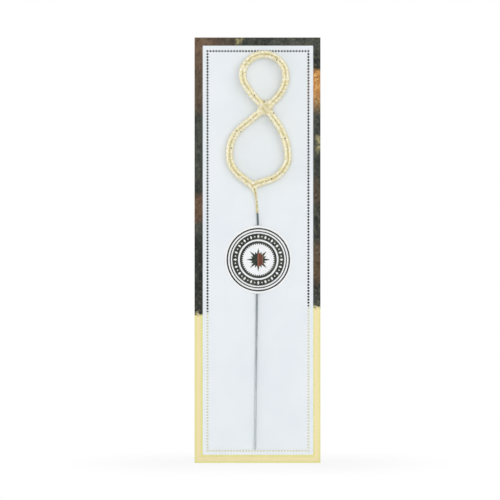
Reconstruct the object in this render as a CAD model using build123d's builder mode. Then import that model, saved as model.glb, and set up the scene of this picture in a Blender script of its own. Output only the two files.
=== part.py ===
"""A numeral sparkler held on a tall sales card by a round paper seal.

Millimetres. The card stands upright with its back in the XZ plane, +Z up the card and -Y towards
the viewer. The origin is the middle of the card's back face.
"""

import os
from math import atan2, cos, radians, sin, tan

from build123d import *

# Card
card_width = 55.4
card_height = 187.2
card_thickness = 0.5

# Foil stamped on the card: a border and a dotted line inside it
foil_thickness = 0.04
border_side_width = 3.4
border_end_width = 3.6
print_shift = 0.2
dot_diameter = 0.95
dot_pitch = 1.3
dot_margin = 2.1
dot_drop = 0.3

# Paper seal over the stem
seal_diameter = 30.0
seal_x = 0.35
seal_z = -4.15
paper_thickness = 0.12
adhesive_thickness = 0.05
cut_margin = 1.0

# Tent of the seal over the wire
tent_foot = 2.3
tent_crest = 0.3
tent_foot_radius = 1.5
tent_clearance = 0.1

# Foil figures on the seal, each spaced inwards from the one outside it
rim_margin = 1.05
rim_line_width = 0.65
hairline_gap = 0.7
hairline_width = 0.5
band_gap = 0.6
band_width = 2.6
ornament_count = 20
lozenge_height = 1.7
lozenge_width = 1.0
bead_diameter = 0.6
serrated_gap = 0.75
serrated_width = 0.8
tooth_depth = 0.8
tooth_count = 48
burst_gap = 1.35
burst_rays = 8
burst_short_ray = 3.8
burst_waist = 2.0

# Wire of the stem and the numeral
wire_diameter = 0.8
stem_gap = 0.1
stem_x = -0.05
stem_foot_z = -87.7
stem_lean = 0.71
stem_bend_rise = 3.2
neck_x = -0.68
neck_z = 23.85
numeral_tilt = 2.5
strand_gap = 0.4
bend_share = 0.48

# Upper loop of the numeral, measured from the neck
loop_x = 3.6
loop_z = 52.45
loop_radius = 9.45
loop_first_angle = -37.0
loop_last_angle = 180.0
loop_corners = 5
loop_exit_drop = 2.2

# Corners of the numeral's two strands (x, z), measured from the neck
rising_strand = [
    (-1.0, 4.2),
    (-8.95, 10.35),
    (-11.55, 14.95),
    (-11.65, 20.85),
    (-10.15, 25.8),
    (-6.8, 29.7),
    (10.0, 43.4),
]
falling_strand = [
    (-0.75, 43.0),
    (5.05, 37.95),
    (10.75, 29.7),
    (13.5, 23.3),
    (14.35, 15.9),
    (12.2, 11.25),
    (8.15, 7.65),
    (0.0, 5.15),
]

# Spark mixture on the wire
coating_diameter = 3.4
coating_gap = 0.15
coating_end = 1.2
tail_wall = 0.25
tail_length = 9.2
web_radius = 3.7
web_thickness = 3.0

# Iron grains in the mixture: number of a piece of the route, share of its length, turn from the front
grain_width = 0.5
grain_length = 0.65
grain_turn = (35, 25, 15)
grain_places = [
    (11, 0.53, 23.0),
    (15, 0.07, -22.0),
    (15, 0.3, 41.0),
    (23, 0.03, -23.0),
    (31, 0.42, -13.0),
    (33, 0.05, -64.0),
    (33, 0.9, -40.0),
    (37, 0.2, -3.0),
    (43, 0.72, 6.0),
]

# Sizes that follow
card_face = -card_thickness
wire_radius = wire_diameter / 2
coating_radius = coating_diameter / 2
tail_radius = wire_radius + tail_wall
seal_radius = seal_diameter / 2
stem_height = stem_gap + wire_radius
coating_lift = coating_radius + coating_gap
strand_step = wire_diameter + strand_gap
tent_height = stem_gap + wire_diameter + tent_clearance
tent_slope = atan2(tent_height, tent_foot - tent_crest)
tent_crest_radius = 0.95 * tent_crest / tan(tent_slope / 2)
paper_bottom = adhesive_thickness
paper_top = paper_bottom + paper_thickness
figure_top = paper_top + foil_thickness
sheet_reach = seal_diameter

rim_outer = seal_radius - rim_margin
rim_inner = rim_outer - rim_line_width
hairline_outer = rim_inner - hairline_gap
hairline_inner = hairline_outer - hairline_width
band_outer = hairline_inner - band_gap
band_inner = band_outer - band_width
band_middle = (band_outer + band_inner) / 2
serrated_outer = band_inner - serrated_gap
serrated_inner = serrated_outer - serrated_width
tooth_tip = serrated_inner - tooth_depth
burst_radius = tooth_tip - burst_gap

stem_direction = Vector(sin(radians(stem_lean)), 0, cos(radians(stem_lean)))
across_stem = Vector(cos(radians(stem_lean)), 0, -sin(radians(stem_lean)))
seal_face = Plane(origin=(seal_x, card_face, seal_z), x_dir=(1, 0, 0), z_dir=(0, -1, 0))
seal_section = Plane(origin=(stem_x, card_face, seal_z), x_dir=across_stem, z_dir=stem_direction * -1)


def stem_point(z):
    """A point of the straight stem's centreline at height z."""
    x = stem_x + (z - seal_z) * tan(radians(stem_lean))
    return Vector(x, card_face - stem_height, z)


def numeral_point(x, z, forward=0.0):
    """A corner of the numeral, on a plane that leans off the card, moved forward by a distance."""
    rise = (z - rising_strand[0][1]) * tan(radians(numeral_tilt))
    return Vector(neck_x + x, card_face - coating_lift - rise - forward, neck_z + z)


def falling_point(number):
    """A corner of the falling strand, which comes back to the rising strand's plane by its end."""
    x, z = falling_strand[number]
    share = number / (len(falling_strand) - 1)
    return numeral_point(x, z, strand_step * (1 - share**2))


def loop_point(number):
    """A corner of the polygon round the upper loop, stepping forward as the loop goes round."""
    step = (loop_last_angle - loop_first_angle) / loop_corners
    angle = radians(loop_first_angle + step * (number + 0.5))
    reach = loop_radius / cos(radians(step / 2))
    forward = strand_step * (number + 1) / (loop_corners + 1)
    return numeral_point(loop_x + reach * cos(angle), loop_z + reach * sin(angle), forward)


def half_turn(before, corner, after):
    """Half the angle that the route turns by at a corner, in radians."""
    return radians((corner - before).get_angle(after - corner)) / 2


def bend_radius(before, corner, after):
    """The radius of a bend that takes its share of the shorter of its two runs."""
    shorter = min((corner - before).length, (after - corner).length)
    return bend_share * shorter / tan(half_turn(before, corner, after))


# Corners of the wire, from the stem's foot round the numeral to its free end
stem_foot = stem_point(stem_foot_z)
stem_bend = stem_point(seal_z + seal_radius + stem_bend_rise)
neck = numeral_point(0, 0)
rising_corners = [numeral_point(x, z) for x, z in rising_strand]
upper_corners = [loop_point(number) for number in range(loop_corners)]
loop_exit = numeral_point(loop_x - loop_radius, loop_z - loop_exit_drop, strand_step)
falling_corners = [falling_point(number) for number in range(len(falling_strand))]
corners = [stem_foot, stem_bend, neck, *rising_corners, *upper_corners, loop_exit, *falling_corners]

# The stem's bend stays above the seal, and every other bend is as large as its runs allow
bends = [bend_radius(*corners[i - 1 : i + 2]) for i in range(1, len(corners) - 1)]
bends[0] = 0.95 * stem_bend_rise / tan(half_turn(stem_foot, stem_bend, neck))
print("bend radii", [round(bend, 1) for bend in bends])

with BuildLine() as wire_route:
    FilletPolyline(*corners, radius=bends)
route = wire_route.wire()
pieces = route.edges().sort_by(route)


def run_after(corner):
    """The number of the straight piece that leaves a corner; the corner's bend comes just before it."""
    return 2 * corners.index(corner)


# Stretches of the route
neck_start = run_after(neck)
coating_start = run_after(rising_corners[0])
loop_top = run_after(upper_corners[loop_corners // 2])
stem_path = Wire(pieces[:neck_start])
neck_path = Wire(pieces[neck_start:coating_start])
rising_path = Wire(pieces[coating_start:loop_top])
end_point = route @ 1
end_run = Edge.make_line(end_point, end_point + (route % 1) * coating_end)
falling_path = Wire(pieces[loop_top:] + [end_run])
tail_path = stem_path.trim(1 - tail_length / stem_path.length, 1)

# Where the two strands cross, seen from the front
rising_run = pieces[run_after(rising_corners[-2])]
falling_run = pieces[run_after(falling_corners[0])]
numeral_front = Vector(0, -cos(radians(numeral_tilt)), -sin(radians(numeral_tilt)))


def crossing_share(run, other):
    """The share of a run's length at which it crosses another run, seen along Y."""
    start, along = run @ 0, (run @ 1) - (run @ 0)
    aside = ((other @ 1) - (other @ 0)).cross(Vector(0, 1, 0))
    return ((other @ 0) - start).dot(aside) / along.dot(aside)


rising_cross = rising_run @ crossing_share(rising_run, falling_run)
falling_cross = falling_run @ crossing_share(falling_run, rising_run)
web_centre = (rising_cross + falling_cross) * 0.5


def grain_centre(index, share, turn):
    """A point on the coating's surface, turned about the route from its front."""
    along = pieces[index] % share
    front = Vector(0, -1, 0)
    outward = (front - along * front.dot(along)).normalized()
    return pieces[index] @ share + outward.rotate(Axis((0, 0, 0), along), turn) * coating_radius


def sheet_line(lift):
    """Corners and radii of a line over the stem, at an even distance above the card's face."""
    spread = lift * tan(tent_slope / 2)
    foot = tent_foot + spread
    crest = tent_crest + spread
    line = [(-sheet_reach, lift), (-foot, lift), (-crest, tent_height + lift)]
    line += [(-x, z) for x, z in reversed(line)]
    foot_radius = tent_foot_radius - lift
    crest_radius = tent_crest_radius + lift
    return line, [foot_radius, crest_radius, crest_radius, foot_radius]


def sheet_section(bottom, top):
    """Section of a thin sheet tented over the stem, between two distances from the card's face."""
    lower_line, lower_radii = sheet_line(bottom)
    upper_line, upper_radii = sheet_line(top)
    with BuildSketch(seal_section) as section:
        with BuildLine():
            FilletPolyline(*lower_line, radius=lower_radii)
            FilletPolyline(*upper_line, radius=upper_radii)
            Line(lower_line[0], upper_line[0])
            Line(lower_line[-1], upper_line[-1])
        make_face()
    return section.sketch


def toothed_outline(outer, inner, count):
    """Corners of a ring of points: each outer corner is followed by an inner one half a step on."""
    step = 360 / count
    outline = []
    for number in range(count):
        for reach, turn in ((outer, 0.0), (inner, 0.5)):
            angle = radians(90 + step * (number + turn))
            outline.append((reach * cos(angle), reach * sin(angle)))
    return outline


figure_sheet = sheet_section(paper_top, figure_top)
figure_depth = tent_height + figure_top + cut_margin

# Card

with BuildPart() as backing_card:
    with BuildSketch(Plane.XZ):
        Rectangle(card_width, card_height)
    extrude(amount=card_thickness)

window_width = card_width - 2 * border_side_width
window_height = card_height - 2 * border_end_width

with BuildPart() as foil_frame:
    with BuildSketch(Plane.XZ.offset(card_thickness)):
        Rectangle(card_width, card_height)
        with Locations((print_shift, 0)):
            Rectangle(window_width, window_height, mode=Mode.SUBTRACT)
    extrude(amount=foil_thickness)

dots_width = window_width - 2 * dot_margin
dots_height = window_height - 2 * dot_margin
dots_across = round(dots_width / dot_pitch)
dots_down = round(dots_height / dot_pitch)

with BuildPart() as foil_dots:
    with BuildSketch(Plane.XZ.offset(card_thickness)):
        with Locations((print_shift, -dot_drop)):
            with GridLocations(dots_width / dots_across, dots_height, dots_across + 1, 2):
                Circle(dot_diameter / 2)
            with GridLocations(dots_width, dots_height / dots_down, 2, dots_down - 1):
                Circle(dot_diameter / 2)
    extrude(amount=foil_thickness)

# Seal

with BuildPart() as seal_adhesive:
    extrude(sheet_section(0, paper_bottom), amount=sheet_reach, both=True)
    with BuildSketch(seal_face):
        Circle(seal_radius)
    extrude(amount=figure_depth, both=True, mode=Mode.INTERSECT)

with BuildPart() as seal_paper:
    extrude(sheet_section(paper_bottom, paper_top), amount=sheet_reach, both=True)
    with BuildSketch(seal_face):
        Circle(seal_radius)
    extrude(amount=figure_depth, both=True, mode=Mode.INTERSECT)

with BuildPart() as seal_rim_line:
    extrude(figure_sheet, amount=sheet_reach, both=True)
    with BuildSketch(seal_face):
        Circle(rim_outer)
        Circle(rim_inner, mode=Mode.SUBTRACT)
    extrude(amount=figure_depth, both=True, mode=Mode.INTERSECT)

with BuildPart() as seal_hairline:
    extrude(figure_sheet, amount=sheet_reach, both=True)
    with BuildSketch(seal_face):
        Circle(hairline_outer)
        Circle(hairline_inner, mode=Mode.SUBTRACT)
    extrude(amount=figure_depth, both=True, mode=Mode.INTERSECT)

lozenge = [(lozenge_height / 2, 0), (0, lozenge_width / 2), (-lozenge_height / 2, 0), (0, -lozenge_width / 2)]
half_step = 180 / ornament_count

with BuildPart() as seal_band:
    extrude(figure_sheet, amount=sheet_reach, both=True)
    with BuildSketch(seal_face):
        Circle(band_outer)
        Circle(band_inner, mode=Mode.SUBTRACT)
        with PolarLocations(band_middle, ornament_count):
            Polygon(*lozenge, align=None, mode=Mode.SUBTRACT)
        with PolarLocations(band_middle, ornament_count, start_angle=half_step):
            Circle(bead_diameter / 2, mode=Mode.SUBTRACT)
    extrude(amount=figure_depth, both=True, mode=Mode.INTERSECT)

with BuildPart() as seal_serrated_ring:
    extrude(figure_sheet, amount=sheet_reach, both=True)
    with BuildSketch(seal_face):
        Circle(serrated_outer)
        Polygon(*toothed_outline(serrated_inner, tooth_tip, tooth_count), align=None, mode=Mode.SUBTRACT)
    extrude(amount=figure_depth, both=True, mode=Mode.INTERSECT)

with BuildPart() as seal_burst:
    extrude(figure_sheet, amount=sheet_reach, both=True)
    with BuildSketch(seal_face):
        Polygon(*toothed_outline(burst_radius, burst_waist, burst_rays), align=None)
        with Locations(Location((0, 0), 180 / burst_rays)):
            Polygon(*toothed_outline(burst_short_ray, burst_waist, burst_rays), align=None)
    extrude(amount=figure_depth, both=True, mode=Mode.INTERSECT)

# Sparkler

with BuildPart() as core_wire:
    with BuildSketch(Plane(origin=route @ 0, z_dir=route % 0)):
        Circle(wire_radius)
    sweep(path=route)

with BuildPart() as iron_grains:
    with Locations(*[grain_centre(*place) for place in grain_places]):
        Box(grain_width, grain_width, grain_length, rotation=grain_turn)

with BuildPart() as tail_coat:
    with BuildSketch(Plane(origin=tail_path @ 0, z_dir=tail_path % 0)):
        Circle(tail_radius)
    sweep(path=tail_path)

with BuildPart() as neck_coat:
    with BuildSketch(Plane(origin=neck_path @ 0, z_dir=neck_path % 0)):
        Circle(tail_radius)
    with BuildSketch(Plane(origin=neck_path @ 1, z_dir=neck_path % 1)):
        Circle(coating_radius)
    sweep(path=neck_path, multisection=True)

with BuildPart() as rising_coat:
    with BuildSketch(Plane(origin=rising_path @ 0, z_dir=rising_path % 0)):
        Circle(coating_radius)
    sweep(path=rising_path)

with BuildPart() as falling_coat:
    with BuildSketch(Plane(origin=falling_path @ 0, z_dir=falling_path % 0)):
        Circle(coating_radius)
    sweep(path=falling_path)
    end_face = falling_coat.faces().filter_by(GeomType.PLANE).sort_by_distance(falling_path @ 1)[0]
    fillet(end_face.edges(), radius=0.9 * coating_end)

with BuildPart() as crossing_web:
    with BuildSketch(Plane(origin=web_centre, z_dir=numeral_front)):
        Circle(web_radius)
    extrude(amount=web_thickness / 2, both=True)
    fillet(crossing_web.edges().filter_by(GeomType.CIRCLE), radius=0.45 * web_thickness)

with BuildPart() as spark_coating:
    add(rising_coat.part)
    add(falling_coat.part)
    add(neck_coat.part)
    add(tail_coat.part)
    add(crossing_web.part)
    add(core_wire.part, mode=Mode.SUBTRACT)
    add(iron_grains.part, mode=Mode.SUBTRACT)

for name, coat, path in (
    ("tail", tail_coat, tail_path),
    ("neck", neck_coat, neck_path),
    ("rising", rising_coat, rising_path),
    ("falling", falling_coat, falling_path),
    ("wire", core_wire, route),
):
    print(name, round(coat.part.volume, 3), round(path.length, 3), coat.part.is_valid)
print("coating", spark_coating.part.volume, len(spark_coating.part.solids()), spark_coating.part.is_valid)

os.makedirs("parts", exist_ok=True)
for name, piece in (
    ("backing_card", backing_card),
    ("foil_frame", foil_frame),
    ("foil_dots", foil_dots),
    ("seal_adhesive", seal_adhesive),
    ("seal_paper", seal_paper),
    ("seal_rim_line", seal_rim_line),
    ("seal_hairline", seal_hairline),
    ("seal_band", seal_band),
    ("seal_serrated_ring", seal_serrated_ring),
    ("seal_burst", seal_burst),
    ("core_wire", core_wire),
    ("spark_coating", spark_coating),
    ("iron_grains", iron_grains),
):
    piece.part.label = name
    export_step(piece.part, f"parts/{name}.step")
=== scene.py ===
"""Looks of a numeral sparkler on its sales card: finishes, lumpy spark mixture, light and camera.

The scene is in metres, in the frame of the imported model: the card stands in the XZ plane and its face
looks along -Y. Named sizes are in millimetres and are multiplied by MM where they meet the scene. The
lamps are placed in metres.
"""

import math

import bpy
import numpy as np
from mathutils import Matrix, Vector


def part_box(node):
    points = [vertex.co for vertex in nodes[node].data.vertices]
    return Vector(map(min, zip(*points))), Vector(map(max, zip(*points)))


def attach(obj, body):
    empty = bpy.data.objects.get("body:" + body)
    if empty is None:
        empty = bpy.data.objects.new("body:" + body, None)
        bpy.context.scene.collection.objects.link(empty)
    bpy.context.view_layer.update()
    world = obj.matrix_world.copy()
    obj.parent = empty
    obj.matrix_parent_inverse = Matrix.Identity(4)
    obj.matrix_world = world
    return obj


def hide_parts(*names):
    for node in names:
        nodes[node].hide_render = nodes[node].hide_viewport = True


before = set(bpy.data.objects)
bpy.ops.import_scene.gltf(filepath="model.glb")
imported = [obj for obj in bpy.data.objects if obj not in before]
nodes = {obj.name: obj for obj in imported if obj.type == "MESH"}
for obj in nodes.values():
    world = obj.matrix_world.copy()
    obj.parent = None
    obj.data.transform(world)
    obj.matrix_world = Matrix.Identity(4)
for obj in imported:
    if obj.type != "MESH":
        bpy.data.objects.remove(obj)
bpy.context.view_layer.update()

MM = 0.001

# Places read from the frame, in millimetres
card_low, card_high = (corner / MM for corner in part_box("backing_card"))
seal_low, seal_high = (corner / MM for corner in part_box("seal_paper"))
CARD_FACE = card_low.y
CARD_BACK = card_high.y
SEAL_X = (seal_low.x + seal_high.x) / 2
SEAL_Z = (seal_low.z + seal_high.z) / 2
SEAL_RADIUS = (seal_high.z - seal_low.z) / 2

# Foil: the middle of the border, the ragged line at which the painted dark reflection turns to gold,
# and the stretch of painted copper reflection
BORDER_MIDDLE = 1.7
SIDE_X = card_high.x - BORDER_MIDDLE
GOLD_LINE_Z = -26.6
GOLD_LINE_SLOPE = 0.068
GOLD_LINE_RAGGED = 7.0
GOLD_LINE_BLUR = 0.9
COPPER_REFLECTION_TOP = 79.6
COPPER_REFLECTION_BLUR = 1.0
COPPER_REFLECTION_FADE_LOW = 58.0
COPPER_REFLECTION_FADE_HIGH = 72.0

# Stem under the seal: where it passes the seal's middle, and its lean
STEM_X = SEAL_X - 0.45
STEM_LEAN = 0.0124

# Camera: the picture's side at the card's face, its middle, and how far off the camera stands
PICTURE_SIDE = 220.0
PICTURE_X = -3.3
PICTURE_Z = 0.1
CAMERA_DISTANCE = 1000.0
SENSOR = 36.0

# Route of the coated wire: the stem's bend in the frame, and (x, z) corners from the neck
NECK_X = -0.68
NECK_Z = 23.85
COAT_LIFT = 1.85
NUMERAL_TILT = math.radians(2.5)
STRAND_STEP = 1.2
BEND_SHARE = 0.48
BEND_POINTS = 24
STEM_BEND = (0.18, -1.0, 14.05)
RISING = [
    (0.0, 0.0),
    (-1.0, 4.2),
    (-8.95, 10.35),
    (-11.55, 14.95),
    (-11.65, 20.85),
    (-10.15, 25.8),
    (-6.8, 29.7),
    (10.0, 43.4),
]
FALLING = [
    (-5.85, 50.25),
    (-0.75, 43.0),
    (5.05, 37.95),
    (10.75, 29.7),
    (13.5, 23.3),
    (14.35, 15.9),
    (12.2, 11.25),
    (8.15, 7.65),
    (0.0, 5.15),
]
LOOP_X = 3.6
LOOP_Z = 52.45
LOOP_RADIUS = 9.45
LOOP_FIRST = math.radians(-37.0)
LOOP_LAST = math.radians(180.0)
LOOP_CORNERS = 5

# Spark mixture on the wire, the web where its strands cross, and its skin
COAT_RADIUS = 1.7
TAIL_RADIUS = 0.57
WIRE_RADIUS = 0.4
TAIL_LENGTH = 7.9
TAPER_START = -0.4
TAPER_LENGTH = 5.6
TAIL_FEATHER = 0.8
END_CAP = 1.2
WEB_RADIUS = 3.6
WEB_HALF_DEPTH = 1.6
WEB_FULLNESS = 0.6
WEB_ROWS = 25
WEB_COLUMNS = 48
RING_STEP = 0.25
RING_SIDES = 40
VOXEL = 0.17
SMOOTH_STEPS = 8
CROWN_HALF_WIDTH = 0.55
FLANK_START = 0.72
FRONT_NORMAL = -0.3
WEB_PAINTED_REFLECTION = 0.65
LUMP_SIZES = (5.0, 1.6, 0.8)
LUMP_HEIGHTS = (0.05, 0.035, 0.03)
LUMP_SEED = 11

# Iron grains: how near their corners are joined, and the levels that round them
GRAIN_WELD = 0.001
GRAIN_LEVELS = 2

# Floor: how far it goes, and how far round the card's foot and how strongly it shows its shadow
FLOOR_REACH = 30000.0
SHADOW_REACH = 70.0
SHADOW_SHARE = 0.2


# Shader maths


class Value:
    """A shader socket. Arithmetic on it, either way round, adds Math nodes to its tree."""

    def __init__(self, finish, socket):
        self.finish = finish
        self.socket = socket

    def math(self, operation, *inputs):
        return self.finish.node("ShaderNodeMath", {"operation": operation}, dict(enumerate(inputs)))

    def __add__(self, other):
        return self.math("ADD", self, other)

    def __sub__(self, other):
        return self.math("SUBTRACT", self, other)

    def __rsub__(self, other):
        return self.math("SUBTRACT", other, self)

    def __mul__(self, other):
        return self.math("MULTIPLY", self, other)

    def __truediv__(self, other):
        return self.math("DIVIDE", self, other)

    def __pow__(self, other):
        return self.math("POWER", self, other)

    def __abs__(self):
        return self.math("ABSOLUTE", self)

    def most(self, other):
        return self.math("MAXIMUM", self, other)

    __radd__ = __add__
    __rmul__ = __mul__


class Finish:
    """A node tree as it is filled, for one material or for the world."""

    def __init__(self, tree):
        self.tree = tree
        tree.nodes.clear()

    def node(self, kind, settings=None, sockets=None, output=0):
        """Adds a node, sets its settings, then fills its sockets with values or links; gives one output."""
        made = self.tree.nodes.new(kind)
        for name, value in (settings or {}).items():
            setattr(made, name, value)
        for name, value in (sockets or {}).items():
            if isinstance(value, Value):
                self.tree.links.new(value.socket, made.inputs[name])
            else:
                made.inputs[name].default_value = value
        return Value(self, made.outputs[output]) if len(made.outputs) else None

    def place(self, stretch=(1, 1, 1)):
        """The point on the object in millimetres, each axis multiplied by a stretch."""
        point = self.node("ShaderNodeTexCoord", output="Object")
        factors = [share / MM for share in stretch]
        return self.node("ShaderNodeVectorMath", {"operation": "MULTIPLY"}, {0: point, 1: factors})

    def axes(self, point):
        """The x, y and z of a point."""
        split = self.node("ShaderNodeSeparateXYZ", sockets={0: point}).socket.node
        return [Value(self, output) for output in split.outputs]

    def attribute(self, name):
        """A value kept on the points of the piece's own mesh."""
        return self.node("ShaderNodeAttribute", {"attribute_name": name}, output="Fac")

    def noise(self, point, size, detail=3.0, rough=0.55):
        """Soft noise from 0 to 1, with lumps of about a size in millimetres."""
        sockets = {"Vector": point, "Scale": 1 / size, "Detail": detail, "Roughness": rough}
        return self.node("ShaderNodeTexNoise", sockets=sockets)

    def cells(self, point, size, output="Distance"):
        """Distance to the nearest of scattered points, or that point's own colour."""
        sockets = {"Vector": point, "Scale": 1 / size}
        return self.node("ShaderNodeTexVoronoi", sockets=sockets, output=output)

    def rise(self, value, low, high):
        """0 below low and 1 above high, smooth between; low may be the larger."""
        sockets = {0: value, 1: low, 2: high, 3: 0.0, 4: 1.0}
        return self.node("ShaderNodeMapRange", {"interpolation_type": "SMOOTHSTEP"}, sockets)

    def blend(self, share, first, second):
        """A colour between two, by a share from 0 to 1."""
        settings = {"data_type": "RGBA", "clamp_factor": True}
        return self.node("ShaderNodeMix", settings, {0: share, 6: first, 7: second}, output=2)

    def bump(self, height, depth):
        """A normal from a height of 0 to 1 that stands for a depth in millimetres."""
        sockets = {"Strength": 1.0, "Distance": depth * MM, "Height": height}
        return self.node("ShaderNodeBump", sockets=sockets)

    def shade(self, **sockets):
        """Ends the tree in a principled surface; an underscore in a name stands for a space."""
        named = {name.replace("_", " "): value for name, value in sockets.items()}
        surface = self.node("ShaderNodeBsdfPrincipled", sockets=named)
        self.node("ShaderNodeOutputMaterial", sockets={"Surface": surface})


def colour(code):
    """Linear colour of a six-digit screen colour."""
    parts = [int(code[i : i + 2], 16) / 255 for i in (0, 2, 4)]
    linear = [c / 12.92 if c <= 0.04045 else ((c + 0.055) / 1.055) ** 2.4 for c in parts]
    return (*linear, 1.0)


def new_finish(name):
    """A named material and the tree that it is made in."""
    material = bpy.data.materials.new(name)
    material.use_nodes = True
    return material, Finish(material.node_tree)


# Finishes


def coated_board():
    """Pale blue coated face, grey uncoated back and a pale fibrous cut edge."""
    material, finish = new_finish("coated_board")
    point = finish.place()
    y = finish.axes(point)[1]
    fibre = finish.noise(finish.place((1, 1, 0.45)), 0.5, detail=5.0, rough=0.65)
    cloud = finish.noise(point, 22.0, detail=2.0)
    plies = finish.noise(finish.place((0.5, 9, 0.5)), 0.8, detail=4.0)
    face = finish.blend(finish.rise(cloud, 0.35, 0.65), colour("E5EBF0"), colour("E9EEF2"))
    face = finish.blend(finish.rise(fibre, 0.62, 0.8) * 0.35, face, colour("DDE4E9"))
    back = finish.blend(finish.rise(fibre, 0.3, 0.75), colour("DAD7D0"), colour("ECEAE4"))
    flecks = finish.rise(finish.cells(point, 1.7), 0.11, 0.04) * finish.rise(cloud, 0.4, 0.6)
    back = finish.blend(flecks * 0.5, back, colour("A9A294"))
    edge = finish.blend(plies, colour("D9D8D3"), colour("F3F2EE"))
    skin = 0.03
    is_face = finish.rise(y, CARD_FACE + 2 * skin, CARD_FACE + skin)
    is_back = finish.rise(y, CARD_BACK - 2 * skin, CARD_BACK - skin)
    tone = finish.blend(is_back, finish.blend(is_face, edge, face), back)
    rough = 0.85 - is_face * (0.4 - fibre * 0.12)
    height = fibre * (1 - is_face * 0.75) + plies * (1 - is_face) * (1 - is_back)
    finish.shade(
        Base_Color=tone,
        Roughness=rough,
        Normal=finish.bump(height, 0.02),
        Specular_IOR_Level=0.4,
    )
    return material


def gold_below(finish, x, z, ragged):
    """0 above and 1 below the ragged line, rising to the right, where painted dark reflection turns to gold.
    """
    line = GOLD_LINE_Z + x * GOLD_LINE_SLOPE + (ragged - 0.5) * GOLD_LINE_RAGGED
    return finish.rise(z - line, GOLD_LINE_BLUR, -GOLD_LINE_BLUR)


def painted_copper_reflection(finish, z):
    """1 near the top of the painted copper reflection on the border, fading out down it, and 0 above and
    below.
    """
    below_top = finish.rise(z, COPPER_REFLECTION_TOP + COPPER_REFLECTION_BLUR, COPPER_REFLECTION_TOP - COPPER_REFLECTION_BLUR)
    return below_top * finish.rise(z, COPPER_REFLECTION_FADE_LOW, COPPER_REFLECTION_FADE_HIGH)


def from_seal(x, z):
    """How far a point lies from the seal's middle, seen from the front."""
    return ((x - SEAL_X) ** 2.0 + (z - SEAL_Z) ** 2.0) ** 0.5


def stamped_foil():
    """Mirror foil on board: painted dark reflection with copper and olive clouds above a ragged line, gold
    below.
    """
    material, finish = new_finish("stamped_foil")
    point = finish.place()
    x, _, z = finish.axes(point)
    ragged = finish.noise(point, 1.6, detail=4.0, rough=0.7)
    cloud = finish.noise(finish.place((1, 1, 0.4)), 7.0, detail=3.0)
    grain = finish.noise(point, 0.55, detail=3.0, rough=0.7)
    mottle = finish.noise(point, 0.9, detail=3.0, rough=0.6)
    wander = (finish.noise(point, 5.0, detail=3.0) - 0.5) * 6.0

    def patch(middle_x, middle_z, reach_x, reach_z):
        """A soft oval with a wandering edge, in millimetres."""
        across = (x + wander - middle_x) / reach_x
        along = (z + wander - middle_z) / reach_z
        return finish.rise(across * across + along * along, 1.5, 0.2)

    # The dark tone and all its brown, umber, russet, copper, olive and pale patches are painted reflection.
    dark = finish.blend(finish.rise(cloud, 0.35, 0.65), colour("363836"), colour("4B4F49"))
    top_right = finish.rise(x, -5.0, 25.0) * finish.rise(z, 82.0, 91.0)
    dark = finish.blend(top_right * 0.25, dark, colour("666A5E"))
    dark = finish.blend(finish.rise(grain, 0.6, 0.85) * 0.5, dark, colour("6C6D58"))
    corner, bar_end = patch(-SIDE_X, 86.0, 8.0, 9.0), patch(-18.0, 92.0, 9.0, 4.0) * 0.5
    brown = corner.most(bar_end).most(patch(-SIDE_X, 71.0, 8.0, 11.0) * 0.7)
    dark = finish.blend(brown * (0.55 + cloud * 0.35), dark, colour("7A6350"))
    dark = finish.blend(patch(-24.0, 92.0, 6.0, 4.0) * 0.2, dark, colour("94705A"))
    dark = finish.blend(patch(-SIDE_X, -7.0, 8.0, 15.0) * 0.5, dark, colour("232725"))
    umber = (patch(SIDE_X, 26.0, 5.0, 6.0) * 0.6).most(patch(SIDE_X, -6.0, 5.0, 9.0))
    dark = finish.blend(umber * 0.6, dark, colour("705842"))
    russet = patch(-SIDE_X, 18.5, 6.0, 6.0)
    dark = finish.blend(russet * (0.15 + ragged * 0.8), dark, colour("826049"))
    # Painted copper reflection down the right border.
    on_right = finish.rise(abs(x - SIDE_X), 3.3, 2.7)
    rust_and_reflection = on_right * painted_copper_reflection(finish, z + wander * 0.3)
    copper = finish.blend(finish.rise(ragged, 0.35, 0.65), colour("B27840"), colour("E6B270"))
    dark = finish.blend(rust_and_reflection * 0.95, dark, copper)
    olive = patch(-7.9, 92.0, 1.8, 6.0).most(patch(27.3, 47.3, 2.4, 4.0))
    sparks = finish.rise(ragged, 0.45, 0.6)
    dark = finish.blend(olive * (0.15 + sparks * 0.75), dark, colour("B4AA7C"))
    dark = finish.blend(finish.rise(mottle, 0.5, 0.75) * 0.36, dark, colour("948A70"))
    dark = finish.blend(finish.rise(mottle, 0.5, 0.27) * 0.6, dark, colour("141514"))

    # Painted reflections on the burst's slopes over the stem: reddish on the right, grey-green on the left.
    from_ridge = x - (STEM_X + (z - SEAL_Z) * STEM_LEAN)
    on_burst = finish.rise(from_seal(x, z), 3.9, 2.2)
    right_slope = finish.rise(from_ridge, -0.1, 0.3) * finish.rise(from_ridge, 3.2, 1.4)
    left_slope = finish.rise(from_ridge, 0.1, -0.3)
    dark = finish.blend(on_burst * right_slope * 0.85, dark, colour("744536"))
    dark = finish.blend(on_burst * left_slope * 0.7, dark, colour("2F3C33"))

    from_edge = (abs(x) - card_high.x).most(abs(z) - card_high.z)
    middle = finish.rise(abs(from_edge + BORDER_MIDDLE + wander * 0.12), 1.3, 0.3)
    gold = finish.blend(middle, colour("E6E19E"), colour("F2E3B2"))
    gold = finish.blend(finish.rise(cloud, 0.5, 0.75) * 0.5, gold, colour("F2E7B2"))
    gold = finish.blend(finish.rise(grain, 0.6, 0.8) * 0.25, gold, colour("D3C282"))

    tone = finish.blend(gold_below(finish, x, z, ragged), dark, gold)
    height = grain + finish.noise(point, 3.0) * 0.6
    finish.shade(
        Base_Color=tone,
        Metallic=1.0,
        Roughness=0.16 + grain * 0.14,
        Normal=finish.bump(height, 0.008),
    )
    return material


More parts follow.
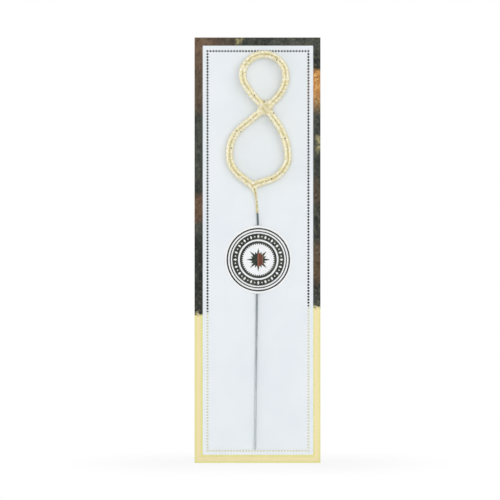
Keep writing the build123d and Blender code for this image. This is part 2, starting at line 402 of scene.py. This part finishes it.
def dotted_foil():
    """Dot foil: a painted reflection, near black and paler along the top, with pale gold below the ragged
    line.
    """
    material, finish = new_finish("dotted_foil")
    point = finish.place()
    x, _, z = finish.axes(point)
    ragged = finish.noise(point, 1.6, detail=4.0, rough=0.7)
    grain = finish.noise(point, 0.55, detail=3.0, rough=0.7)
    # Near black, the paler top row and the copper patch are painted reflection.
    dark = finish.blend(grain, colour("181918"), colour("44463F"))
    on_top = finish.rise(z, 85.5, 87.0)
    dark = finish.blend(on_top * 0.6, dark, colour("74766F"))
    # Painted copper reflection on the right dots.
    rust_and_reflection = finish.rise(x, 0.0, 5.0) * painted_copper_reflection(finish, z)
    dark = finish.blend(rust_and_reflection * 0.6, dark, colour("6B4A28"))
    gold = finish.blend(grain, colour("D2D1B4"), colour("E4E3CE"))
    tone = finish.blend(gold_below(finish, x, z, ragged), dark, gold)
    finish.shade(
        Base_Color=tone,
        Metallic=1.0,
        Roughness=0.2 + grain * 0.14,
        Normal=finish.bump(grain, 0.008),
    )
    return material


def label_paper():
    """White satin label paper with fine fibres and a slightly darker cut edge."""
    material, finish = new_finish("label_paper")
    point = finish.place()
    x, _, z = finish.axes(point)
    fibre = finish.noise(point, 0.35, detail=5.0, rough=0.7)
    cloud = finish.noise(point, 6.0, detail=2.0)
    cut = finish.rise(from_seal(x, z), SEAL_RADIUS - 0.25, SEAL_RADIUS - 0.02)
    tone = finish.blend(finish.rise(cloud, 0.3, 0.7), colour("EDF0F2"), colour("F3F5F6"))
    tone = finish.blend(finish.rise(fibre, 0.6, 0.8) * 0.4, tone, colour("E6E6E4"))
    tone = finish.blend(cut * 0.6, tone, colour("D8D7D2"))
    finish.shade(
        Base_Color=tone,
        Roughness=0.42 + fibre * 0.2,
        Normal=finish.bump(fibre, 0.012),
        Specular_IOR_Level=0.45,
    )
    return material


def clear_gum():
    """Cream gum, a little glossy, with small bubbles."""
    material, finish = new_finish("clear_gum")
    point = finish.place()
    bubbles = finish.rise(finish.cells(point, 0.6), 0.32, 0.22)
    streaks = finish.noise(finish.place((0.3, 1, 1)), 1.2)
    tone = finish.blend(streaks, colour("E9E3CB"), colour("DCD3B0"))
    tone = finish.blend(bubbles * 0.5, tone, colour("F6F3E6"))
    finish.shade(Base_Color=tone, Roughness=0.25 + streaks * 0.2, Normal=finish.bump(bubbles, 0.015))
    return material


def drawn_steel():
    """Dark drawn steel wire: fine lines along it, cloudy grey scale, painted reflection paler lower down."""
    material, finish = new_finish("drawn_steel")
    lines = finish.noise(finish.place((1, 1, 0.03)), 0.16, detail=3.0)
    scale = finish.noise(finish.place((1, 1, 0.25)), 2.4, detail=3.0)
    z = finish.axes(finish.place())[2]
    # Paler towards the bottom: painted reflection.
    painted_reflection_below = finish.rise(z, 5.0, -70.0)
    tone = finish.blend(finish.rise(scale, 0.3, 0.7), colour("5E676A"), colour("7A8386"))
    bright = finish.blend(finish.rise(scale, 0.3, 0.7), colour("A9B0B3"), colour("C3C9CB"))
    tone = finish.blend(painted_reflection_below, tone, bright)
    tone = finish.blend(finish.rise(lines, 0.45, 0.75) * 0.5, tone, colour("5A6265"))
    finish.shade(
        Base_Color=tone,
        Metallic=1.0,
        Roughness=0.3 + scale * 0.25,
        Normal=finish.bump(lines, 0.02),
    )
    return material


def gold_mixture():
    """Gold-painted spark mixture: cream, a painted dark reflection on the crown, brown specks, grainy skin.
    """
    material, finish = new_finish("gold_mixture")
    point = finish.place()
    lump, crown, flank = (finish.attribute(name) for name in ("lump", "crown", "flank"))
    cloud = finish.noise(point, 2.6, detail=3.0)
    grain = finish.noise(point, 0.3, detail=4.0, rough=0.7)
    patchy = finish.noise(point, 1.1, detail=3.0, rough=0.65)
    grit = finish.cells(point, 0.42)
    # Paler on lump crests and darker in the hollows: painted shade.
    tone = finish.blend(finish.rise(lump, 0.2, 0.8), colour("E6DCAA"), colour("FCF8E8"))
    tone = finish.blend(finish.rise(cloud, 0.45, 0.7) * 0.5, tone, colour("EFE3B0"))
    # The flank tone is painted shade on the rims.
    tone = finish.blend(flank * 0.62, tone, colour("D8D2BE"))
    # The darker crown is painted reflection, patchy along the line.
    painted_crown_reflection = crown * finish.rise(patchy, 0.25, 0.55)
    tone = finish.blend(painted_crown_reflection * 0.9, tone, colour("B8AB70"))
    tone = finish.blend(finish.rise(grain, 0.6, 0.8) * 0.4, tone, colour("C2B070"))
    pick = finish.axes(finish.cells(point, 0.9, "Color"))[0]
    # Specks are more and darker on the crown, as part of its painted reflection.
    few = 0.82 - crown * 0.5
    speck = finish.rise(finish.cells(point, 0.9), 0.36, 0.2) * finish.rise(pick, few, few + 0.04)
    tone = finish.blend(speck * (0.5 + crown * 0.3), tone, colour("8A7442"))
    height = (1 - grit) * 0.6 + grain * 0.6
    finish.shade(
        Base_Color=tone,
        Metallic=0.2,
        Roughness=0.42 + grain * 0.2,
        Normal=finish.bump(height, 0.035),
    )
    return material


def bare_iron():
    """Nearly black iron grains with a trace of rust."""
    material, finish = new_finish("bare_iron")
    point = finish.place()
    rust_and_reflection = finish.noise(point, 0.25, detail=3.0)
    tone = finish.blend(finish.rise(rust_and_reflection, 0.5, 0.75), colour("1E1B18"), colour("46342A"))
    finish.shade(
        Base_Color=tone,
        Metallic=0.6,
        Roughness=0.5 + rust_and_reflection * 0.3,
        Normal=finish.bump(rust_and_reflection, 0.05),
    )
    return material


# Spark mixture


def numeral_corners(flat, forward):
    """Corners in space of flat (x, z) corners, on a plane that leans off the card, stepped forward."""
    across, up = np.asarray(flat, float).T
    lean = (up - RISING[1][1]) * math.tan(NUMERAL_TILT)
    depth = CARD_FACE - COAT_LIFT - lean - forward
    return np.stack([NECK_X + across, depth, NECK_Z + up], axis=1)


def upper_loop():
    """Corners of the polygon round the upper loop, whose sides touch its circle, each stepped forward."""
    number = np.arange(LOOP_CORNERS)
    turn = (LOOP_LAST - LOOP_FIRST) / LOOP_CORNERS
    angle = LOOP_FIRST + turn * (number + 0.5)
    reach = LOOP_RADIUS / math.cos(turn / 2)
    flat = np.stack([LOOP_X + reach * np.cos(angle), LOOP_Z + reach * np.sin(angle)], axis=1)
    return numeral_corners(flat, STRAND_STEP * (number + 1) / (LOOP_CORNERS + 1))


def falling_corners():
    """Corners of the falling strand, which comes back to the rising strand's plane by its end."""
    share = np.clip((np.arange(len(FALLING)) - 1) / (len(FALLING) - 2), 0, 1)
    return numeral_corners(FALLING, STRAND_STEP * (1 - share**2))


def coat_route():
    """Even points along the coated wire.

    At each corner a parabola touches both runs at an equal reach, a share of the shorter run, and straight
    lines join the parabolas. The line is then divided evenly by its length.
    """
    rising = numeral_corners(RISING, 0.0)
    corners = np.concatenate([[STEM_BEND], rising, upper_loop(), falling_corners()])
    runs = np.diff(corners, axis=0)
    lengths = np.linalg.norm(runs, axis=1)
    headings = runs / lengths[:, None]
    reach = BEND_SHARE * np.minimum(lengths[:-1], lengths[1:])[:, None]
    middle = corners[1:-1]
    share = np.linspace(0, 1, BEND_POINTS)[None, :, None]
    before = (middle - reach * headings[:-1])[:, None]
    after = (middle + reach * headings[1:])[:, None]
    bends = (1 - share) ** 2 * before + 2 * share * (1 - share) * middle[:, None] + share**2 * after
    end = corners[-1] + headings[-1] * END_CAP
    line = np.concatenate([corners[:1], bends.reshape(-1, 3), [end]])
    travel = np.concatenate([[0], np.cumsum(np.linalg.norm(np.diff(line, axis=0), axis=1))])
    even = np.linspace(0, travel[-1], int(travel[-1] / RING_STEP) + 1)
    return np.stack([np.interp(even, travel, line[:, axis]) for axis in range(3)], axis=1), even


def coat_radius(travel, neck_travel):
    """Radius of the coat along the route: a thin tail that feathers onto the wire, a taper, then full.

    The end is rounded by the square root of one minus the share of the cap squared.
    """
    start = neck_travel - TAIL_LENGTH

    def rise(low, high):
        """0 below low and 1 above high, smooth between."""
        share = np.clip((travel - low) / (high - low), 0, 1)
        return share * share * (3 - 2 * share)

    inside = WIRE_RADIUS * 0.9
    radius = inside + (TAIL_RADIUS - inside) * rise(start, start + TAIL_FEATHER)
    taper = neck_travel + TAPER_START
    radius += (COAT_RADIUS - TAIL_RADIUS) * rise(taper, taper + TAPER_LENGTH)
    past = np.clip((travel - (travel[-1] - END_CAP)) / END_CAP, 0, 0.999)
    return radius * np.sqrt(1 - past**2)


def closed_faces(rows, columns):
    """Faces of a grid that closes round its columns: its quads, then its first and last row, as indices."""
    row, column = np.meshgrid(np.arange(rows - 1), np.arange(columns), indexing="ij")
    beside = (column + 1) % columns
    here, there = row * columns, (row + 1) * columns
    quads = np.stack([here + column, here + beside, there + beside, there + column], axis=-1)
    first = np.arange(columns)[::-1]
    last = (rows - 1) * columns + np.arange(columns)
    return [*quads.reshape(-1, 4).tolist(), first.tolist(), last.tolist()]


def tube(centres, radii, sides):
    """A profile carried along a path: circles of given radii, square to the path, with closed ends."""
    along = np.gradient(centres, axis=0)
    along /= np.linalg.norm(along, axis=1)[:, None]
    front = np.array([0.0, -1.0, 0.0])
    aside = np.cross(along, front)
    aside /= np.linalg.norm(aside, axis=1)[:, None]
    outward = np.cross(aside, along)
    angle = np.linspace(0, 2 * np.pi, sides, endpoint=False)
    cosine, sine = (wave(angle)[None, :, None] for wave in (np.cos, np.sin))
    ring = cosine * outward[:, None] + sine * aside[:, None]
    points = centres[:, None] + radii[:, None, None] * ring
    return points.reshape(-1, 3), closed_faces(len(centres), sides)


def web(centre):
    """The filled corner where the strands cross: a round pad, flattened in depth.

    Its depth goes with the sine of the latitude and its radius with a power of the cosine.
    """
    latitude = np.linspace(-0.499 * np.pi, 0.499 * np.pi, WEB_ROWS)
    depth = -WEB_HALF_DEPTH * np.sin(latitude)
    centres = centre + np.stack([0 * depth, depth, 0 * depth], axis=1)
    radii = WEB_RADIUS * np.cos(latitude) ** WEB_FULLNESS
    angle = np.linspace(0, 2 * np.pi, WEB_COLUMNS, endpoint=False)
    ring = np.stack([np.cos(angle), 0 * angle, np.sin(angle)], axis=1)
    points = centres[:, None] + radii[:, None, None] * ring
    return points.reshape(-1, 3), closed_faces(WEB_ROWS, WEB_COLUMNS)


def crossing():
    """Where the rising and the falling run cross, seen from the front, midway between the two in depth."""
    rising = numeral_corners(RISING[-2:], 0.0)
    falling = falling_corners()[1:3]
    up, down = rising[1] - rising[0], falling[1] - falling[0]
    gap = falling[0] - rising[0]
    share = np.linalg.solve(np.array([[up[0], -down[0]], [up[2], -down[2]]]), gap[[0, 2]])
    return (rising[0] + up * share[0] + falling[0] + down * share[1]) / 2


def lumps(points, size, seed, waves=28):
    """Seeded soft lumps from about -1 to 1: a sum of cosine waves of one length in random directions."""
    rng = np.random.default_rng(seed)
    heading = rng.normal(size=(3, waves))
    heading /= np.linalg.norm(heading, axis=0)
    phase = rng.uniform(0, 2 * np.pi, waves)
    return np.cos(points @ heading * (2 * np.pi / size) + phase).sum(axis=1) / math.sqrt(2 * waves)


def off_line(points, line):
    """How far each point lies to the side of a line, seen from the front: its least distance in X and Z."""
    gaps = [np.hypot(points[:, 0] - x, points[:, 2] - z) for x, _, z in line]
    return np.minimum.reduce(gaps)


def fused_skin(points, faces):
    """One skin over closed surfaces that overlap: they are fused on a fine grid, then smoothed."""
    rough = bpy.data.meshes.new("mixture_rough")
    rough.from_pydata(points * MM, [], faces)
    piece = bpy.data.objects.new("gold_spark_coat", rough)
    bpy.context.scene.collection.objects.link(piece)
    fuse = piece.modifiers.new("fuse", "REMESH")
    fuse.mode = "VOXEL"
    fuse.voxel_size = VOXEL * MM
    ease = piece.modifiers.new("ease", "SMOOTH")
    ease.factor = 0.5
    ease.iterations = SMOOTH_STEPS
    graph = bpy.context.evaluated_depsgraph_get()
    skin = bpy.data.meshes.new_from_object(piece.evaluated_get(graph))
    piece.modifiers.clear()
    piece.data = skin
    bpy.data.meshes.remove(rough)
    return piece


def painted_light_shares(place, normal, line):
    """Shares from 0 to 1 of painted dark reflection on the line's front and the web, and of painted flank
    shade.
    """
    aside = off_line(place, line)
    in_front = normal[:, 1] < FRONT_NORMAL
    on_line = np.clip(1 - (aside / CROWN_HALF_WIDTH) ** 2, 0, 1) * in_front
    from_crossing = off_line(place, [crossing()]) / WEB_RADIUS
    # The web's front gets the painted dark reflection too.
    on_web = WEB_PAINTED_REFLECTION * np.clip(1.6 * (1 - from_crossing), 0, 1) * in_front
    crown = np.maximum(on_line * np.clip(from_crossing - 0.4, 0, 1), on_web)
    flank = np.clip((aside / COAT_RADIUS - FLANK_START) / (1 - FLANK_START), 0, 1)
    return crown, flank * (place[:, 2] > NECK_Z)


def spark_mixture():
    """The coat in one skin: tube and web are fused, then raised along the normals by three sizes of lump."""
    route, travel = coat_route()
    neck = numeral_corners(RISING[:1], 0.0)[0]
    neck_travel = travel[np.argmin(np.linalg.norm(route - neck, axis=1))]
    keep = travel > neck_travel - TAIL_LENGTH - RING_STEP
    line = route[keep]
    coat_points, coat_faces = tube(line, coat_radius(travel[keep], neck_travel), RING_SIDES)
    web_points, web_faces = web(crossing())
    web_faces = [[index + len(coat_points) for index in face] for face in web_faces]
    piece = fused_skin(np.concatenate([coat_points, web_points]), coat_faces + web_faces)

    skin = piece.data
    place = np.empty(len(skin.vertices) * 3)
    normal = np.empty(len(skin.vertices) * 3)
    skin.vertices.foreach_get("co", place)
    skin.vertex_normals.foreach_get("vector", normal)
    place, normal = place.reshape(-1, 3) / MM, normal.reshape(-1, 3)
    large, middle, small = (lumps(place, size, LUMP_SEED + i) for i, size in enumerate(LUMP_SIZES))
    # crown is the share of painted dark reflection, flank the share of painted rim shade.
    crown, flank = painted_light_shares(place, normal, line)
    full = np.clip((place[:, 2] - NECK_Z) / TAPER_LENGTH, 0.2, 1)
    height = sum(most * field for most, field in zip(LUMP_HEIGHTS, (large, middle, small)))
    place += normal * (full * height)[:, None]
    skin.vertices.foreach_set("co", (place * MM).ravel())
    for name, values in (("lump", 0.5 + 0.3 * (middle + small)), ("crown", crown), ("flank", flank)):
        kept = skin.attributes.new(name, "FLOAT", "POINT")
        kept.data.foreach_set("value", values.astype(np.float32))
    skin.polygons.foreach_set("use_smooth", np.ones(len(skin.polygons), bool))
    skin.update()
    return piece


# Pieces


def dress(names, material):
    """Gives CAD pieces a finish."""
    for name in names:
        for slot in nodes[name].material_slots:
            slot.material = material


def round_over(piece, weld, levels):
    """Rounds a CAD piece's corners: its triangles are joined, then subdivided."""
    piece.modifiers.new("join", "WELD").merge_threshold = weld * MM
    soft = piece.modifiers.new("round", "SUBSURF")
    soft.levels = levels
    soft.render_levels = levels


dress(["backing_card"], coated_board())
seal_figures = ["seal_rim_line", "seal_hairline", "seal_band", "seal_serrated_ring", "seal_burst"]
dress(["foil_frame", *seal_figures], stamped_foil())
dress(["foil_dots"], dotted_foil())
dress(["seal_paper"], label_paper())
dress(["seal_adhesive"], clear_gum())
dress(["core_wire"], drawn_steel())
dress(["iron_grains"], bare_iron())
round_over(nodes["iron_grains"], GRAIN_WELD, GRAIN_LEVELS)

coat = spark_mixture()
coat.data.materials.append(gold_mixture())
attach(coat, "sparkler")
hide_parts("spark_coating")


# Stage


def background_share(finish):
    """1 for the rays that should see the white background: camera, mirror and glass rays."""
    path = finish.node("ShaderNodeLightPath", output="Is Camera Ray").socket.node
    rays = [Value(finish, path.outputs[f"Is {kind} Ray"]) for kind in ("Camera", "Glossy", "Transmission")]
    return rays[0].most(rays[1]).most(rays[2])


def white_floor():
    """A pale floor under the card that shows as white to the camera and keeps a soft shadow."""
    corners = np.array([(-1, -1, 0), (1, -1, 0), (1, 1, 0), (-1, 1, 0)]) * FLOOR_REACH
    mesh = bpy.data.meshes.new("floor")
    mesh.from_pydata((corners + (0, 0, card_low.z)) * MM, [], [(0, 1, 2, 3)])
    floor = bpy.data.objects.new("floor", mesh)
    bpy.context.scene.collection.objects.link(floor)
    material, finish = new_finish("floor_white")
    matte = finish.node("ShaderNodeBsdfDiffuse", sockets={"Color": (0.9, 0.9, 0.9, 1)})
    glow = finish.node("ShaderNodeEmission", sockets={"Color": (1, 1, 1, 1), "Strength": 1.0})
    x, y, _ = finish.axes(finish.place())
    beside = (abs(x) - card_high.x).most(0.0)
    near = finish.rise((beside * beside + y * y) ** 0.5, SHADOW_REACH, 0.0)
    share = background_share(finish) * (1 - near * SHADOW_SHARE)
    surface = finish.node("ShaderNodeMixShader", sockets={0: share, 1: matte, 2: glow})
    finish.node("ShaderNodeOutputMaterial", sockets={"Surface": surface})
    mesh.materials.append(material)


def studio_world(level):
    """White where it is seen, and an even soft light of a given level elsewhere."""
    world = bpy.data.worlds.new("studio")
    world.use_nodes = True
    bpy.context.scene.world = world
    finish = Finish(world.node_tree)
    light = finish.node("ShaderNodeBackground", sockets={"Color": (1, 1, 1, 1), "Strength": level})
    white = finish.node("ShaderNodeBackground", sockets={"Color": (1, 1, 1, 1), "Strength": 1.0})
    seen = finish.node("ShaderNodeMixShader", sockets={0: background_share(finish), 1: light, 2: white})
    finish.node("ShaderNodeOutputWorld", sockets={"Surface": seen})


def softbox(name, place, width, height, level, mirrored=True):
    """A softbox that faces the card's middle and lights a white surface turned to it to a given level.

    One that isn't mirrored doesn't show in glossy surfaces.
    """
    lamp = bpy.data.lights.new(name, "AREA")
    lamp.shape = "RECTANGLE"
    lamp.size = width
    lamp.size_y = height
    place = Vector(place)
    lamp.energy = level * (math.pi * place.length) ** 2
    holder = bpy.data.objects.new(name, lamp)
    holder.location = place
    holder.rotation_euler = (-place).to_track_quat("-Z", "Y").to_euler()
    holder.visible_glossy = mirrored
    bpy.context.scene.collection.objects.link(holder)


def photo_camera():
    """A long lens square to the card, in front of the picture's middle."""
    lens = bpy.data.cameras.new("camera")
    lens.sensor_width = SENSOR
    lens.lens = SENSOR * CAMERA_DISTANCE / PICTURE_SIDE
    lens.clip_start = 0.05
    lens.clip_end = 50
    camera = bpy.data.objects.new("camera", lens)
    camera.location = Vector((PICTURE_X, CARD_FACE - CAMERA_DISTANCE, PICTURE_Z)) * MM
    camera.rotation_euler = (math.pi / 2, 0, 0)
    bpy.context.scene.collection.objects.link(camera)
    bpy.context.scene.camera = camera


white_floor()
studio_world(0.64)
softbox("key", place=(0.9, -1.5, 0.35), width=1.0, height=1.0, level=0.165)
softbox("left", place=(-1.6, -0.25, 0.05), width=0.9, height=0.6, level=0.24)
softbox("front", place=(0.0, -2.0, 0.11), width=1.6, height=0.36, level=0.212, mirrored=False)
softbox("back", place=(-0.4, 0.9, 0.25), width=0.8, height=0.4, level=0.22)
photo_camera()
bpy.context.scene.view_settings.view_transform = "Standard"
